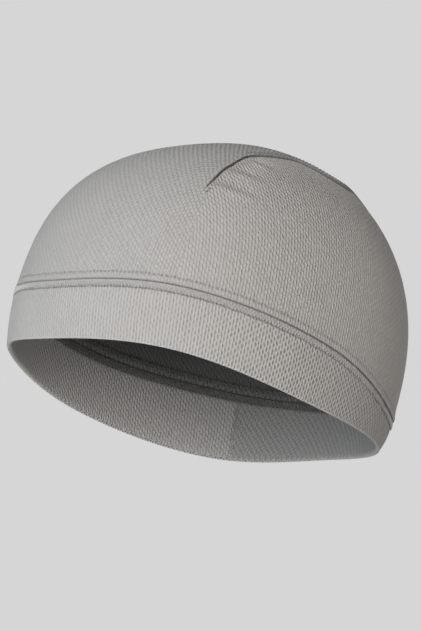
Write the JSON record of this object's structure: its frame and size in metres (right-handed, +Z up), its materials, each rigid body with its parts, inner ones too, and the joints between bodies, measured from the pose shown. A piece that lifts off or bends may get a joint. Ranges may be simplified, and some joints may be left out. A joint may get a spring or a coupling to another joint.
{
  "type": "helmet liner cap",
  "caption": "Close-fitting stretch knit skull cap for wear under a helmet, with a domed darted crown and a folded band round an open hem.",
  "frame": {"origin": "middle of the head opening, level with the mean height of the hem", "axes": "+Z up to the top of the crown, -Y to the wearer's front, +X to the wearer's left"},
  "size_m": [0.1682, 0.1889, 0.1259],
  "materials": {
    "crown_knit": "light warm grey perforated stretch knit, matt with a faint sheen",
    "band_knit": "the same knit folded double, matt with a faint sheen",
    "seam_knit": "flat seam covered with looped grey thread, matt"
  },
  "bodies": {
    "root": {"crown": "crown_knit", "band": "band_knit", "seam_strip": "seam_knit"}
  },
  "joints": []
}
